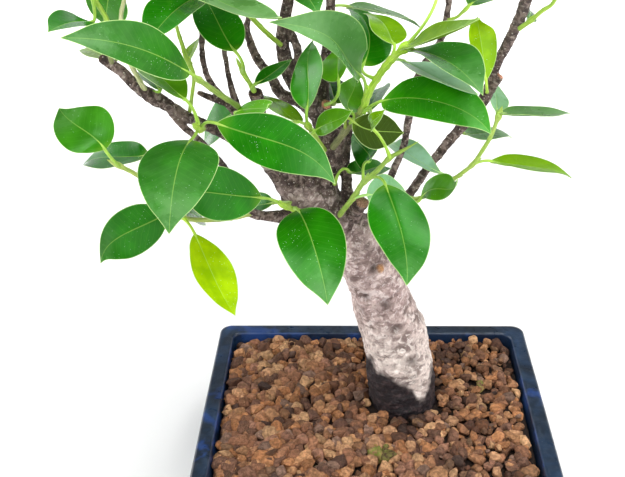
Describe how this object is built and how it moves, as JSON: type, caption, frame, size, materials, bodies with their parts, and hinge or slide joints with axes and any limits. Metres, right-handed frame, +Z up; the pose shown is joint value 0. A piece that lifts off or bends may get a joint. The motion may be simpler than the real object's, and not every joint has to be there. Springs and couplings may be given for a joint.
{
  "type": "potted bonsai tree",
  "caption": "Small-leaved fig bonsai with a leaning trunk, bare upper limbs and glossy leaves, in a shallow rectangular glazed pot filled with clay grains.",
  "frame": {"origin": "middle of the pot in plan, at the level the pot's feet stand on", "axes": "+Z up, +X along the pot's long side to the right in the picture, +Y away from the viewer"},
  "size_m": [0.3029, 0.2115, 0.3918],
  "materials": {
    "pot_glaze": "dark blue-black mottled gloss glaze",
    "drainage_mesh": "matt black moulded mesh",
    "clip_wire": "brown anodised wire",
    "soil_grains": "fired clay grains, red-brown, matt",
    "bark": "grey-brown bark, darker on the limbs",
    "green_shoot": "green to brown young stem with small leaves",
    "crown_foliage": "leafy shoot, glossy green",
    "leaf_haze": "glossy leaf blade, haze tone",
    "leaf_dark": "glossy leaf blade, dark tone",
    "leaf_pale": "glossy leaf blade, pale tone",
    "leaf_lime": "glossy leaf blade, lime tone",
    "leaf_olive": "glossy leaf blade, olive tone",
    "leaf_blue": "glossy leaf blade, blue tone",
    "leaf_green": "glossy leaf blade, green tone",
    "leaf_bright": "glossy leaf blade, bright tone",
    "leaf_gloss": "glossy leaf blade, gloss tone",
    "leaf_mid": "glossy leaf blade, mid tone",
    "leaf_under": "glossy leaf blade, under tone",
    "leaf_limeg": "glossy leaf blade, limeg tone"
  },
  "bodies": {
    "root": {"pot": "pot_glaze", "drainage_mesh_left": "drainage_mesh", "mesh_clip_wire_left": "clip_wire", "drainage_mesh_right": "drainage_mesh", "mesh_clip_wire_right": "clip_wire", "soil_bed": "soil_grains", "trunk_and_limbs": "bark", "shoot_low": "green_shoot", "shoot_front": "green_shoot", "shoot_upleft": "green_shoot", "shoot_s4": "green_shoot", "shoot_trunk": "green_shoot", "shoot_mid": "green_shoot", "shoot_main": "green_shoot", "shoot_c": "green_shoot", "shoot_right": "green_shoot", "shoot_tipright": "green_shoot", "shoot_tr2": "green_shoot", "shoot_l1": "green_shoot", "shoot_l2": "green_shoot", "shoot_l3": "green_shoot", "shoot_l4": "green_shoot", "crown_01": "crown_foliage", "crown_02": "crown_foliage", "crown_03": "crown_foliage", "crown_04": "crown_foliage", "crown_05": "crown_foliage", "crown_06": "crown_foliage", "crown_07": "crown_foliage", "crown_08": "crown_foliage", "leaf_01": "leaf_haze", "leaf_02": "leaf_dark", "leaf_03": "leaf_pale", "leaf_04": "leaf_pale", "leaf_05": "leaf_lime", "leaf_06": "leaf_pale", "leaf_07": "leaf_olive", "leaf_08": "leaf_lime", "leaf_09": "leaf_haze", "leaf_10": "leaf_blue", "leaf_11": "leaf_green", "leaf_12": "leaf_bright", "leaf_13": "leaf_bright", "leaf_14": "leaf_gloss", "leaf_15": "leaf_green", "leaf_16": "leaf_green", "leaf_17": "leaf_mid", "leaf_18": "leaf_haze", "leaf_19": "leaf_green", "leaf_20": "leaf_lime", "leaf_21": "leaf_mid", "leaf_22": "leaf_bright", "leaf_23": "leaf_green", "leaf_24": "leaf_green", "leaf_25": "leaf_blue", "leaf_26": "leaf_under", "leaf_27": "leaf_limeg", "leaf_28": "leaf_pale", "leaf_29": "leaf_mid", "leaf_30": "leaf_dark"}
  },
  "joints": []
}
